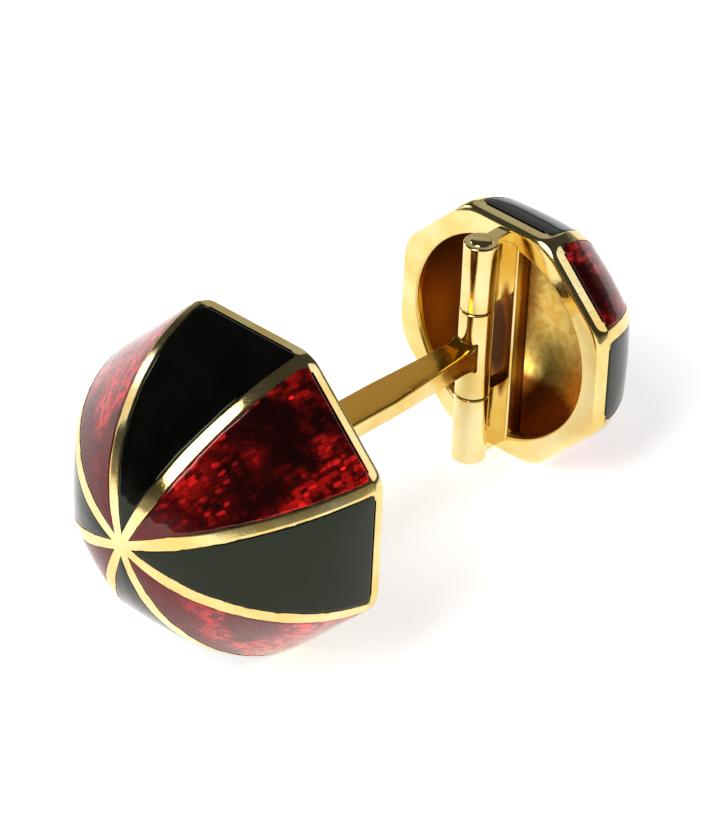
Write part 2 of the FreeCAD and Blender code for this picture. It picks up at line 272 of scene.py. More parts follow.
inside = attribute(place, "inside")
# painted shade: the mesh marks where brown and dark brown shade are painted, and blotches vary it
grime = attribute(place, "grime") + blotches * BLOTCH_SHARE
shade_browned = step(grime, *SHADE_BROWN_STEP)
# dark brown: the real soot in the seams, and the deepest painted shade
soot_and_deep_shade = step(grime, *DEEP_SHADE_STEP) + attribute(place, "seam") * step(blotches, *SEAM_STEP) * SEAM_SOOT
# the post's flats get a deeper gold as painted shade; inside, the same gold mottles at random
outer_gold = blend(attribute(place, "worn"), blend(tone, GOLD_DEEP, GOLD_LIGHT), MOTTLE_AND_SHADE_GOLD)
mottled_gold = blend(step(skin, *MOTTLE_STEP) * MOTTLE_SHARE, GOLD_INSIDE, MOTTLE_AND_SHADE_GOLD)
clean_gold = blend(inside, outer_gold, mottled_gold)
feed(shader, "Base Color", blend(soot_and_deep_shade, blend(shade_browned, clean_gold, SHADE_BROWN), SOOT_AND_DEEP_SHADE))
polish = MIRROR + hair * HAIR_DULL + tone * TONE_DULL
feed(shader, "Roughness", polish + inside * INSIDE_DULL + shade_browned * SHADE_BROWN_DULL)
relief = file_waves * WAVE_HEIGHT + dents * DENT_HEIGHT + hair * HAIR_HEIGHT
feed(shader, "Normal", bump(relief + inside * skin * SKIN_HEIGHT, GOLD_RELIEF))
shader.inputs["Metallic"].default_value = 1.0
print(gold.name, "has", len(gold.node_tree.nodes), "nodes")

# %% [markdown]
# The black enamel is opaque glass, stoned flat and fired glossy. Its own colour is almost nothing,
# so what shows is the room: white where it looks at the table, black where it looks up. A faint
# swell from the last firing and a few pinholes keep those reflections alive.

# %% Black enamel
BLACK_GLASS = (0.0008, 0.0009, 0.0006, 1.0)
BLACK_GLASS_LIFTED = (0.0022, 0.0025, 0.0016, 1.0)
OLIVE_SHEEN = (0.78, 0.88, 0.6, 1.0)
GLASS_INDEX = 1.45
CLOUD_GRAIN, CLOUD_STEP = 0.7, (0.35, 0.7)
PINHOLE_GRAIN, PINHOLE_STEP = 9.0, (0.68, 0.78)
FIRING_GRAIN = 0.55
GLAZE = 0.045
CLOUD_DULL, PINHOLE_DULL = 0.03, 0.1
PINHOLE_SINK = 0.04
GLASS_RELIEF = 0.03

black_enamel, shader, place = new_finish("black_enamel")
cloud = step(noise(place, CLOUD_GRAIN), *CLOUD_STEP)
pinholes = step(noise(place, PINHOLE_GRAIN), *PINHOLE_STEP)
swell = noise(place, FIRING_GRAIN, detail=1.0)
feed(shader, "Base Color", blend(cloud, BLACK_GLASS, BLACK_GLASS_LIFTED))
feed(shader, "Roughness", GLAZE + cloud * CLOUD_DULL + pinholes * PINHOLE_DULL)
feed(shader, "Normal", bump(swell - pinholes * PINHOLE_SINK, GLASS_RELIEF))
shader.inputs["IOR"].default_value = GLASS_INDEX
shader.inputs["Specular Tint"].default_value = OLIVE_SHEEN
print(black_enamel.name, "has", len(black_enamel.node_tree.nodes), "nodes")

# %% [markdown]
# The red enamel is clear glass over a ground that the engraver has covered with short cuts, laid
# in rows. The cells of a Voronoi pattern stand for the cuts. Two numbers on the mesh, the distance
# along a panel and across it, lay them in rows, and noise makes the rows a little uneven, as a
# hand does.

# %% Rows of engraved cuts
CUTS_ALONG = 3.0
CUTS_ACROSS = 5.5
PANEL_SHIFT = 13.7
CUT_CHANCE = 0.45
WANDER_GRAIN, ROW_WANDER = 1.1, 1.2
CRUMB_GRAIN, CUT_WANDER = 5.0, 0.4

red_enamel, shader, place = new_finish("red_enamel")
from_star = attribute(place, "along")
crumbs = noise(place, CRUMB_GRAIN)
rows_astray = noise(place, WANDER_GRAIN, detail=1.0) * ROW_WANDER
cuts_astray = crumbs * CUT_WANDER
far = from_star * CUTS_ALONG + attribute(place, "panel") * PANEL_SHIFT + rows_astray + cuts_astray
wide = attribute(place, "across") * CUTS_ACROSS + rows_astray + cuts_astray
spot = far.node("ShaderNodeCombineXYZ", None, {"X": far, "Y": wide})
flat = {"voronoi_dimensions": "2D"}
cells = {"Vector": spot, "Scale": 1.0, "Randomness": CUT_CHANCE}
chance = spot.node("ShaderNodeTexVoronoi", flat, cells, output="Color")
to_middle = spot.node("ShaderNodeTexVoronoi", flat, cells)
print("a cut is", round(1 / CUTS_ALONG, 2), "mm long and", round(1 / CUTS_ACROSS, 2), "mm wide")

# %% [markdown]
# Each cut leans its own way, so a few of them flash while the rest stay dark. Relief would draw a
# dark line round every cut, so the shader leans the surface's normal instead, by a chance vector
# for each cell. The cuts are quiet near the star and lively in patches towards the rim.

# %% Leaning cuts
QUIET_LEAN, LIVELY_LEAN = 0.28, 0.95
CUT_SLOPE = (0.25, 0.75)
QUIET_STAR = (1.5, 6.5)
LIVELY_RIM, RIM_LIFT = (5.0, 8.5), 0.09
PATCH_GRAIN, PATCH_SEED, PATCH_STEP = 0.42, 2.6, (0.46, 0.63)
MIDDLE_CHANCE = (0.5, 0.5, 0.5)

sockets = {"Vector": place, "W": PATCH_SEED, "Scale": PATCH_GRAIN, "Detail": 2.0}
cloud = place.node("ShaderNodeTexNoise", {"noise_dimensions": "4D"}, sockets)
cloud = cloud + step(from_star, *LIVELY_RIM) * RIM_LIFT
patch = step(cloud, *PATCH_STEP) * step(from_star, *QUIET_STAR)
lean = (1 - step(to_middle, *CUT_SLOPE)) * (QUIET_LEAN + patch * (LIVELY_LEAN - QUIET_LEAN))
centred = chance.node("ShaderNodeVectorMath", {"operation": "SUBTRACT"}, {0: chance, 1: MIDDLE_CHANCE})
leaning = centred.node("ShaderNodeVectorMath", {"operation": "SCALE"}, {0: centred, "Scale": lean})
facing = leaning.node("ShaderNodeNewGeometry", output="Normal")
cut = leaning.node("ShaderNodeVectorMath", {"operation": "ADD"}, {0: facing, 1: leaning})
cut = cut.node("ShaderNodeVectorMath", {"operation": "NORMALIZE"}, {0: cut})
print("the lean of a cut takes", len(red_enamel.node_tree.nodes), "nodes")

# %% [markdown]
# The ground shines through red glass. Where a cut should flash, a painted glint makes its colour
# bright red, and elsewhere it is nearly black. A coat on the same shader is the fired surface of
# that glass: smooth, clear and level over all the cuts, with the index of the black glass.

# %% Red enamel over the cuts
RED_DEEP = (0.11, 0.002, 0.002, 1.0)
RED_GLINT_PAINT = (0.85, 0.012, 0.008, 1.0)
RED_SHEEN = (0.5, 0.02, 0.02, 1.0)
GLINT_PAINT_STEP, GLINT_PAINT_LEAST = (0.38, 0.62), 0.3
GLINT_PAINT_GLASS = 0.5
GROUND_DULL, CRUMB_DULL = 0.2, 0.16
CRUMB_RELIEF = 0.008
COAT_GLAZE = 0.03

# painted glints: bright red in the base colour where cuts should flash, and less metallic there
glint_paint = patch * (GLINT_PAINT_LEAST + step(chance, *GLINT_PAINT_STEP) * (1 - GLINT_PAINT_LEAST))
feed(shader, "Base Color", blend(glint_paint, RED_DEEP, RED_GLINT_PAINT))
feed(shader, "Roughness", GROUND_DULL + crumbs * CRUMB_DULL)
feed(shader, "Metallic", 1 - glint_paint * GLINT_PAINT_GLASS)
feed(shader, "Normal", bump(crumbs, CRUMB_RELIEF, normal=cut))
shader.inputs["Specular Tint"].default_value = RED_SHEEN
shader.inputs["Coat Weight"].default_value = 1.0
shader.inputs["Coat Roughness"].default_value = COAT_GLAZE
shader.inputs["Coat IOR"].default_value = GLASS_INDEX
print(red_enamel.name, "has", len(red_enamel.node_tree.nodes), "nodes")

# %% [markdown]
# A piece is made in three moves: its points in millimetres, its place on the table, and then the
# solid that it stands for. One function does the last two for every piece, so that no piece is
# left floating or forgotten. It also closes the seams and keeps clear edges crisp.

# %% From points to a finished piece
FINISHES = {"gold": gold, "black_enamel": black_enamel, "red_enamel": red_enamel}
SEAM = 0.002
SLIVER = SEAM / 4
SHARP_EDGE = 38


def mesh_of(name, points, faces, numbers=None):
    """A raw mesh in millimetres, with any named numbers for its points."""
    mesh = bpy.data.meshes.new(name)
    mesh.from_pydata(points, [], faces)
    for title, values in (numbers or {}).items():
        mesh.attributes.new(title, "FLOAT", "POINT").data.foreach_set("value", values)
    return mesh


def clean(mesh):
    """Closes the seams and turns the faces outwards."""
    work = bmesh.new()
    work.from_mesh(mesh)
    bmesh.ops.remove_doubles(work, verts=work.verts, dist=SEAM)
    bmesh.ops.dissolve_degenerate(work, edges=work.edges, dist=SLIVER)
    bmesh.ops.recalc_face_normals(work, faces=work.faces)
    work.to_mesh(mesh)
    work.free()


def finish_piece(name, mesh, axes, body, slot, nodes):
    """Sets a mesh in its place and lets it stand for its solids."""
    clean(mesh)
    mesh.transform(axes)
    mesh.shade_smooth()
    mesh.set_sharp_from_angle(angle=math.radians(SHARP_EDGE))
    mesh.materials.clear()
    mesh.materials.append(FINISHES[slot])
    piece = bpy.data.objects.new(name, mesh)
    bpy.context.scene.collection.objects.link(piece)
    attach(piece, body)
    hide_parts(*nodes)
    print(name, "has", len(mesh.polygons), "faces")


print("points within", SEAM, "mm are joined, and edges over", SHARP_EDGE, "degrees stay sharp")

# %% [markdown]
# Both domes are vaults of eight equal gores, so one gore is drawn and Geometry Nodes turn the
# copies round the post. The same tree serves the gold and both enamels. It also writes the
# number of the copy on the points, which lets each red panel have its own cuts.

# %% A tree that turns copies round the post
TREE_SOCKETS = (("Gore", "NodeSocketGeometry", "INPUT"), ("Copies", "NodeSocketInt", "INPUT"),
                ("First angle", "NodeSocketFloat", "INPUT"), ("Finish", "NodeSocketMaterial", "INPUT"),
                ("Vault", "NodeSocketGeometry", "OUTPUT"))


def round_the_post():
    """Takes one gore, and gives so many copies of it, numbered, made real and dressed."""
    tree = bpy.data.node_groups.new("round_the_post", "GeometryNodeTree")
    for name, kind, way in TREE_SOCKETS:
        tree.interface.new_socket(name, in_out=way, socket_type=kind)
    entry = tree.nodes.new("NodeGroupInput")
    leave = tree.nodes.new("NodeGroupOutput")
    wires = [Wire(entry.outputs[name]) for name, _, way in TREE_SOCKETS if way == "INPUT"]
    gore, copies, first_angle, finish = wires
    number = gore.node("GeometryNodeInputIndex")
    angle = number / copies * math.tau + first_angle
    turn = angle.node("ShaderNodeCombineXYZ", None, {"X": angle})
    spots = copies.node("GeometryNodeMeshLine", None, {"Count": copies, "Offset": (0.0, 0.0, 0.0)})
    placing = {"Points": spots, "Instance": gore, "Rotation": turn}
    placed = spots.node("GeometryNodeInstanceOnPoints", None, placing)
    numbered = placed.node("GeometryNodeStoreNamedAttribute", {"data_type": "FLOAT", "domain": "INSTANCE"},
                           {"Geometry": placed, "Name": "panel", "Value": number})
    real = numbered.node("GeometryNodeRealizeInstances", None, {"Geometry": numbered})
    dressed = real.node("GeometryNodeSetMaterial", None, {"Geometry": real, "Material": finish})
    tree.links.new(dressed.socket, leave.inputs["Vault"])
    return tree


VAULT_TREE = round_the_post()
print("the tree has", len(VAULT_TREE.nodes), "nodes")

# %% [markdown]
# A tree works as a modifier on an object, and what it makes is only seen until it is turned into
# a mesh. So a helper object carries the gore, the result is copied from it, and the helper goes.

# %% From one gore to a vault
def helper_for(mesh):
    """An object that carries a mesh while a modifier works on it."""
    helper = bpy.data.objects.new("helper", mesh)
    bpy.context.scene.collection.objects.link(helper)
    return helper


def result_of(helper, modifier):
    """The plain mesh that a modifier makes, with the helper cleared away."""
    graph = bpy.context.evaluated_depsgraph_get()
    result = bpy.data.meshes.new_from_object(helper.evaluated_get(graph))
    helper.modifiers.remove(modifier)
    bpy.data.objects.remove(helper)
    return result


def turned(mesh, copies, first_angle, material):
    """Runs the tree on one gore and gives back a plain mesh."""
    helper = helper_for(mesh)
    modifier = helper.modifiers.new("copies", "NODES")
    modifier.node_group = VAULT_TREE
    given = {"Copies": copies, "First angle": first_angle, "Finish": material}
    for item in VAULT_TREE.interface.items_tree:
        if item.name in given:
            modifier[item.identifier] = given[item.name]
    return result_of(helper, modifier)


vault_inputs = [item.name for item in VAULT_TREE.interface.items_tree if item.in_out == "INPUT"]
print("the tree asks for", vault_inputs)

# %% [markdown]
# The outline of a gore is a rule, not a drawing: a crown arc over the star that runs smoothly into
# a shoulder arc down to the rim band. Keeping the rule means that the gold, the enamel and the
# hollow behind can all be sampled from it, each at its own depth.

# %% The rule of a dome
GORES = 8
HALF_GORE = math.pi / GORES
APEX_TRIM = 0.02


class Dome:
    """The outline of one dome: distance from its back, and reach of a gore's middle from the axis.

    Flats and height are its outer sizes, and band is the height of the rim. Crown and cap are the
    radius and the reach of the crown arc. Opening and bridge are the widths of the ring's hole and of
    the strip across it. Corner and edge are how far the rim is rounded.
    """

    def __init__(self, body, axes, flats, height, band, crown, cap, opening, bridge, corner, edge):
        self.body = body
        self.axes = axes
        self.rim = flats / 2
        self.band = band
        self.opening = opening / 2
        self.bridge = bridge / 2
        self.corner = corner
        self.edge = edge
        self.crown = crown
        self.turn = math.asin(cap / crown)
        self.crown_centre = Vector((height + APEX_TRIM - crown, 0))
        outward = Vector((math.cos(self.turn), math.sin(self.turn)))
        chord = self.crown_centre + outward * crown - Vector((band, self.rim))
        self.shoulder = chord.length_squared / (2 * chord.dot(outward))
        self.shoulder_centre = self.crown_centre + outward * (crown - self.shoulder)

    def point(self, angle, inset=0.0):
        """The outline at an angle from the axis, brought in by the inset, and the way it faces."""
        on_crown = angle <= self.turn
        centre = self.crown_centre if on_crown else self.shoulder_centre
        radius = self.crown if on_crown else self.shoulder
        facing = Vector((math.cos(angle), math.sin(angle)))
        return centre + facing * (radius - inset), facing

    def foot(self, level, inset=0.0):
        """The angle at which the outline comes down to a distance from the back."""
        return math.acos((level - self.shoulder_centre.x) / (self.shoulder - inset))


front = Dome("front", FRONT, flats=13.0, height=7.0, band=0.5, crown=5.6, cap=3.4, opening=10.8,
             bridge=2.3, corner=0.6, edge=0.13)
toggle = Dome("toggle", TOGGLE, flats=10.1, height=4.5, band=0.62, crown=6.2, cap=3.0, opening=8.4,
              bridge=1.5, corner=0.8, edge=0.2)
for dome in (front, toggle):
    print(dome.body, "shoulder radius", round(dome.shoulder, 3), "mm")

# %% [markdown]
# Across a gore the gold goes from the middle of one rib to the middle of the next. A rib is filed
# flat on top and eased at both sides, and its flat is what gives the broad white line along it.
# Between the ribs the gold drops into the cell. Near the rim the cell's corners are round, because
# a graver can't cut a sharp one, and its sides waver a little with the hand.

# %% The ribs and cells of one gore
RIB_HALF = 0.28
STAR_RIB_HALF = 0.17
RIB_SPREAD = 0.05
RIB_STEPS = 5
CELL_CORNER = 0.34
HAND_CUT = 0.012
HAND_WAVES = ((3.7, 0.0), (8.3, 1.0))
FULL_CELL = 1.0


def rib_half(reach):
    """Half the width of a rib, which is slimmer towards the star."""
    return min(RIB_HALF, STAR_RIB_HALF + RIB_SPREAD * reach)


def cell_half_width(dome, angle):
    """Half the width of a cell at an angle of the outline, with its rounded corners at the rim."""
    reach = dome.point(angle)[0].y
    half = max(reach * math.tan(HALF_GORE) - rib_half(reach), 0.0)
    left = max(CELL_CORNER - (dome.foot(dome.band) - angle) * dome.shoulder, 0.0)
    corner = CELL_CORNER - math.sqrt(max(CELL_CORNER ** 2 - left ** 2, 0.0))
    waver = sum(math.sin(reach * often + start) for often, start in HAND_WAVES)
    return half - corner - HAND_CUT * waver * min(half / FULL_CELL, 1.0)


def rib_side(reach, wide, ease):
    """Points from the edge of a rib to its middle, as distance across and reach from the axis."""
    half = reach * math.tan(HALF_GORE)
    rib = min(wide, half)
    eased = rib * ease
    radius = eased / math.tan(HALF_GORE / 2)
    flat = (rib - eased) * math.cos(HALF_GORE)
    turns = [HALF_GORE * k / (RIB_STEPS - 1) for k in range(RIB_STEPS)]
    side = [(half - rib + radius * math.sin(a), reach - radius * (1 - math.cos(a))) for a in turns]
    middle = (half - rib + eased + flat * math.cos(HALF_GORE), reach - flat * math.sin(HALF_GORE))
    return side + [middle]


for dome in (front, toggle):
    print(dome.body, "cell is", round(2 * cell_half_width(dome, dome.turn), 2), "mm wide at the shoulder")

# %% [markdown]
# The gold is drawn in rows that run across a gore, from rib to rib. A row over a cell drops to its
# floor and climbs back, a row on the rim has rounder corners, from handling, and a row in the
# hollow is a plain arc. All have the same number of points, so any row can be joined to the next.

# %% Rows across the gold
RIB_EASE = 0.2
CORNER_EASE = 0.4
CROWN_ROWS, SHOULDER_ROWS, CORNER_ROWS = 14, 12, 8


def mirrored(side):
    """A row from one rib to the other, from points given middle to rib."""
    return [(x, -y, z) for x, y, z in reversed(side[1:])] + side


def gold_row(x, reach, edge, depth=0.0, facing=Vector((0, 1)), corner=None):
    """A row across the outside: the cell's floor and wall, then the rib or the rim's corner."""
    low_x, low_reach = x - depth * facing.x, reach - depth * facing.y
    wide, ease = (corner, CORNER_EASE) if corner else (rib_half(reach), RIB_EASE)
    edge = min(edge, reach * math.tan(HALF_GORE) - wide) if corner else edge
    side = [(low_x, 0.0, low_reach), (low_x, edge, low_reach), (x, edge, reach)]
    return mirrored(side + [(x, y, z) for y, z in rib_side(reach, wide, ease)])


def round_row(x, radius, columns):
    """A row on a circle round the axis."""
    turns = [HALF_GORE * (2 * j / (columns - 1) - 1) for j in range(columns)]
    return [(x, radius * math.sin(a), radius * math.cos(a)) for a in turns]


def tip_angle(dome):
    """Where two ribs part and a cell begins."""
    return math.asin(STAR_RIB_HALF / (math.tan(HALF_GORE) - RIB_SPREAD) / dome.crown)


def spaced(first, last, count):
    """Even steps from the first value towards the last, which is left off."""
    return [first + (last - first) * i / count for i in range(count)]


def outline_angles(dome, fine):
    """Angles down a cell, closer together at its rounded corners."""
    foot = dome.foot(dome.band)
    near = foot - CELL_CORNER / dome.shoulder
    crown = spaced(tip_angle(dome), dome.turn, CROWN_ROWS * fine)
    shoulder = spaced(dome.turn, near, SHOULDER_ROWS * fine)
    return crown + shoulder + spaced(near, foot, CORNER_ROWS * fine) + [foot]


for dome in (front, toggle):
    print(dome.body, "cell starts", round(math.degrees(tip_angle(dome)), 1), "degrees from the axis")

# %% [markdown]
# One gore of gold is a single sheet: over the star and the floor of the cell, down the rim band
# and round its edge, then back over the hollow. Cutting the cells out of a plain shell would work
# too, but rows that follow the rule put an edge exactly where the enamel meets the gold.

# %% One gore of gold
CELL_DEPTH = 0.28
SHELL_THICKNESS = 0.65
RING_THICKNESS = 0.3
RIM_WALL = 0.4
STAR_ROWS = 8
HOLLOW_ROWS = 30
ROUND_STEPS = 5
RIM_SHARES = (0.9, 0.75, 0.6, 0.45)
# How much soot a row's points hold: none in the middle of a cell, most where the enamel meets the rib
SEAM_SIDE = (0.0, 1.0, 1.0, 1.0, 0.45, 0.1, 0.0, 0.0, 0.0)


def quarter_turn():
    """Angles from nothing to a right angle, for a rounded edge."""
    return [math.pi / 2 * k / ROUND_STEPS for k in range(ROUND_STEPS + 1)]


def strung(rows):
    """The points of all rows, one after the other."""
    return [point for row in rows for point in row]


def sheet_faces(rows, columns, closed=False):
    """The faces of a net of points, given row after row."""
    faces = []
    for i in range(rows if closed else rows - 1):
        here, below = i * columns, (i + 1) % rows * columns
        faces += [(here + j, here + j + 1, below + j + 1, below + j) for j in range(columns - 1)]
    return faces


def rim_outline(dome):
    """Down the flat of the rim band, then round its edge to the back."""
    band = [(dome.band * share, dome.rim) for share in RIM_SHARES]
    edge = dome.edge
    return band + [(edge * (1 - math.sin(a)), dome.rim - edge * (1 - math.cos(a))) for a in quarter_turn()]


def gold_gore(dome):
    """Over the outside of a gore, round its rim and back over the hollow."""
    rows = []
    for angle in spaced(0.0, tip_angle(dome), STAR_ROWS) + [tip_angle(dome)]:
        (x, reach), _ = dome.point(angle)
        rows.append(gold_row(x, reach, 0.0))
    star_rows = len(rows)
    for angle in outline_angles(dome, fine=1)[1:]:
        (x, reach), facing = dome.point(angle)
        rows.append(gold_row(x, reach, cell_half_width(dome, angle), CELL_DEPTH, facing))
    cell_rows = range(star_rows, len(rows))
    edge = cell_half_width(dome, dome.foot(dome.band))
    for x, reach in rim_outline(dome):
        widening = (1 - x / dome.band) ** 2
        rows.append(gold_row(x, reach, edge, corner=RIB_HALF + (dome.corner - RIB_HALF) * widening))
    rows += [gold_row(x, dome.rim - RIM_WALL, edge) for x in (0.0, RING_THICKNESS)]
    outside = len(rows)
    columns = len(rows[0])
    foot = dome.foot(RING_THICKNESS, SHELL_THICKNESS)
    for angle in reversed(spaced(0.0, foot, HOLLOW_ROWS) + [foot]):
        (x, reach), _ = dome.point(angle, SHELL_THICKNESS)
        rows.append(round_row(x, reach, columns))
    hollow = [float(i >= outside) for i in range(len(rows)) for _ in range(columns)]
    clean_row, seam_row = [0.0] * columns, [*SEAM_SIDE[:0:-1], *SEAM_SIDE]
    seam = [value for i in range(len(rows)) for value in (seam_row if i in cell_rows else clean_row)]
    faces = sheet_faces(len(rows), columns)
    return mesh_of("gold_gore", strung(rows), faces, {"inside": hollow, "seam": seam})


print("the gold under a panel is", round(SHELL_THICKNESS - CELL_DEPTH, 2), "mm thick")

# %% [markdown]
# The eight gores close into a dome. Shade is painted into its hollow, in brown over one side of it
# and over what lies lowest. The gores are copies and know nothing of up and down, so the painted
# shade is written on the points of the whole dome.

# %% The gold domes
SIDE_FROM, SIDE_SPREAD = 0.6, 1.4
LOW_FROM, LOW_SPREAD = 2.9, 0.6


def paint_hollow_shade(vault):
    """Marks the points of a hollow that lie low or to one side, where shade is painted."""
    marks = []
    for vertex, hollow in zip(vault.vertices, vault.attributes["inside"].data):
        _, side, rise = vertex.co
        spread = max((side - SIDE_FROM) / SIDE_SPREAD, (-rise - LOW_FROM) / LOW_SPREAD)
        marks.append(hollow.value * max(min(spread, 1.0), 0.0))
    vault.attributes.new("grime", "FLOAT", "POINT").data.foreach_set("value", marks)


for dome in (front, toggle):
    vault = turned(gold_gore(dome), GORES, 0.0, gold)
    paint_hollow_shade(vault)
    finish_piece(f"{dome.body}_gold_dome", vault, dome.axes, dome.body, "gold", [f"{dome.body}_shell"])

# %% [markdown]
# Enamel shrinks a little at the gold as it cools, so every panel is a low pillow with a soft edge.
# That edge catches a thin line of light all round. The panel is one closed sheet with a floor, and
# its points carry their distances along and across for the engraved rows.

# %% One enamel panel
EDGE_ROUND = 0.1
EDGE_SINK = 0.04
SWELL = 0.05
SWELL_REACH = 1.5
PANEL_HALF_COLUMNS = 9


def pillow(edge):
    """Height of the glass at a distance from its nearest edge."""
    near = 1 - min(edge / EDGE_ROUND, 1.0)
    inward = min(edge / SWELL_REACH, 1.0)
    return EDGE_SINK * (math.sqrt(1 - near * near) - 1) + SWELL * math.sin(math.pi / 2 * inward)


def distance_from_star(dome, angle):
    return dome.crown * min(angle, dome.turn) + dome.shoulder * max(angle - dome.turn, 0.0)


def enamel_gore(dome):
    """One panel, with its soft upper side and its floor in the cell."""
    count = PANEL_HALF_COLUMNS
    shares = [math.sin(math.pi / 2 * k / count) for k in range(-count, count + 1)]
    foot = dome.foot(dome.band)
    upper, lower, lengths, widths = [], [], [], []
    angles = outline_angles(dome, fine=2)
    for angle in angles:
        (x, reach), facing = dome.point(angle)
        half = cell_half_width(dome, angle)
        for share in shares:
            lift = pillow(min(half * (1 - abs(share)), (foot - angle) * dome.shoulder))
            upper.append((x + lift * facing.x, half * share, reach + lift * facing.y))
            lower.append((x - CELL_DEPTH * facing.x, half * share, reach - CELL_DEPTH * facing.y))
            lengths.append(distance_from_star(dome, angle))
            widths.append(half * share)
    rows, columns = len(angles), len(shares)
    below = rows * columns
    faces = sheet_faces(rows, columns)
    faces += [tuple(below + k for k in reversed(face)) for face in faces]
    rim = [i * columns for i in range(rows)] + [(rows - 1) * columns + j for j in range(1, columns)]
    rim += [i * columns + columns - 1 for i in range(rows - 2, -1, -1)]
    faces += [(a, b, below + b, below + a) for a, b in zip(rim, rim[1:])]
    return mesh_of("enamel_gore", upper + lower, faces, {"along": lengths * 2, "across": widths * 2})


for dome in (front, toggle):
    length = distance_from_star(dome, dome.foot(dome.band))
    print(dome.body, "panels end", round(length, 2), "mm from the middle of the star")

# %% [markdown]
# Black and red panels take turns round a dome, four of each. Each could be drawn in its own place,
# but the tree that turned the gold turns them too: the black ones from the top, the red ones from
# one gore further on. Four panels of a colour become one mesh that stands for four solids.

# %% Black and red panels
PANELS_OF_A_COLOUR = GORES // 2

for dome in (front, toggle):
    for colour, first_angle in (("black", 0.0), ("red", 2 * HALF_GORE)):
        slot = f"{colour}_enamel"
        panels = turned(enamel_gore(dome), PANELS_OF_A_COLOUR, first_angle, FINISHES[slot])
        nodes = [f"{dome.body}_enamel_{colour}_{k}" for k in range(1, PANELS_OF_A_COLOUR + 1)]
        finish_piece(f"{dome.body}_{colour}_panels", panels, dome.axes, dome.body, slot, nodes)

# %% [markdown]
# Behind each dome lies a flat gold ring, cut round inside so that the glass can breathe in the
# kiln. Its outer side is the octagon of the rim and its inner side a circle, so a row of points
# that starts on one ends on the other. The inner edge is broken with a file.

# %% The back rings
OPENING_ROUND = 0.12
FLAT_SHARE = 3


def ring_gore(dome):
    """One eighth of a ring, from the octagon inwards to the opening and back."""
    seat = dome.rim - RIM_WALL
    outer = [gold_row(x, seat, seat * math.tan(HALF_GORE) / FLAT_SHARE) for x in (0.0, RING_THICKNESS)]
    columns = len(outer[0])
    edge = [(OPENING_ROUND * (1 - math.cos(a)), dome.opening + OPENING_ROUND * (1 - math.sin(a)))
            for a in quarter_turn()]
    rows = [outer[0], *[round_row(x, radius, columns) for x, radius in edge],
            round_row(RING_THICKNESS, dome.opening, columns), outer[1]]
    return mesh_of("ring_gore", strung(rows), sheet_faces(len(rows), columns, closed=True))


for dome in (front, toggle):
    ring = turned(ring_gore(dome), GORES, 0.0, gold)
    finish_piece(f"{dome.body}_gold_ring", ring, dome.axes, dome.body, "gold", [f"{dome.body}_back_ring"])

# %% [markdown]
# A strip crosses each ring and makes two D-shaped windows of it. A rounded oblong is its section,
# and the same oblong later makes the post. A box with a bevel would look the same, but a solid
# drawn through outlines can also taper and swell.

# %% Solids through rounded outlines
def rounded_oblong(half_width, half_height, corner):
    """A closed outline with rounded corners, anticlockwise."""
    outline = []
    for quarter, (side, rise) in enumerate(((1, 1), (-1, 1), (-1, -1), (1, -1))):
        for turn in quarter_turn():
            angle = turn + quarter * math.pi / 2
            outline.append((side * (half_width - corner) + corner * math.cos(angle),
                            rise * (half_height - corner) + corner * math.sin(angle)))
    return outline


def lofted(rows):
    """A solid through closed outlines of equal count, with flat ends."""
    count = len(rows[0])
    faces = []
    for i in range(len(rows) - 1):
        here, above = i * count, (i + 1) * count
        for j in range(count):
            after = (j + 1) % count
            faces.append((here + j, here + after, above + after, above + j))
    last = (len(rows) - 1) * count
    faces += [tuple(reversed(range(count))), tuple(range(last, last + count))]
    return strung(rows), faces


print("a rounded oblong has", len(rounded_oblong(1.0, 1.0, 0.1)), "points")

# %% [markdown]
# The strip is deeper than the ring, so its sides show in the windows. No mop reaches those sides,
# and they are painted dark brown as painted shade. On the toggle, a painted shadow also lies on the
# flat behind the hinge. It has to fade softly, so the strip gets a fine net of points there to carry it.

# %% The strips across the rings
BRIDGE_DEPTH = 0.85
BRIDGE_ROUND = 0.09
BRIDGE_PROUD = 0.01
BRIDGE_GRIP = 0.2
STRIP_SIDE_SHADE = 1.8
HINGE_SHADOW_LENGTH, HINGE_SHADOW_WIDTH, HINGE_SHADOW_DEPTH = 0.66, 0.92, 2.2
HINGE_SHADOW_STEPS = 24
FACE_SHARES = (0.75, 0.5, 0.25, 0.0, -0.25, -0.5, -0.75)


def hinge_shadow_at(level, share):
    """A painted shadow, thickest behind the middle of a hinge, and gone towards its ends and sides."""
    lengthwise = max(1 - (level / HINGE_SHADOW_LENGTH) ** 2, 0.0)
    return HINGE_SHADOW_DEPTH * lengthwise * max(1 - (share / HINGE_SHADOW_WIDTH) ** 2, 0.0)


